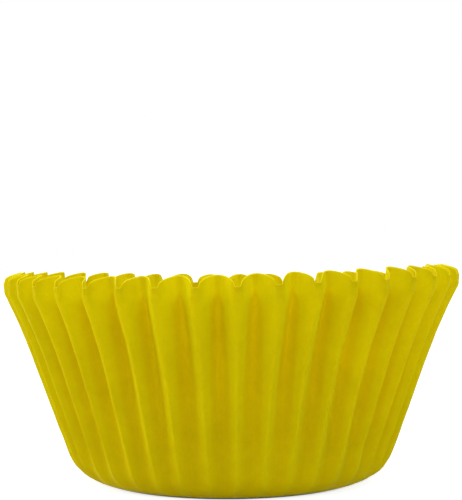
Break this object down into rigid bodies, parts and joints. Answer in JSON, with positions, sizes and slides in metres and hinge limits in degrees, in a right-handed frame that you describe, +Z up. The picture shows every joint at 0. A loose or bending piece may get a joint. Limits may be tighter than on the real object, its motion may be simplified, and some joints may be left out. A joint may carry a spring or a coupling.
{
  "type": "cupcake liner",
  "caption": "Fluted paper cup that lines one round cavity of a baking pan, with a flat base and an open mouth.",
  "frame": {"origin": "centre of the flat base's underside, the point at the bottom centre of the whole liner", "axes": "+Z up the axis of the liner, from the base to the mouth; a flute's outer ridge lies on +X, and +Y completes a right-handed frame"},
  "size_m": [0.0748, 0.0748, 0.034],
  "materials": {
    "paper": "dyed yellow greaseproof paper, satin"
  },
  "bodies": {
    "root": {"liner": "paper"}
  },
  "joints": []
}
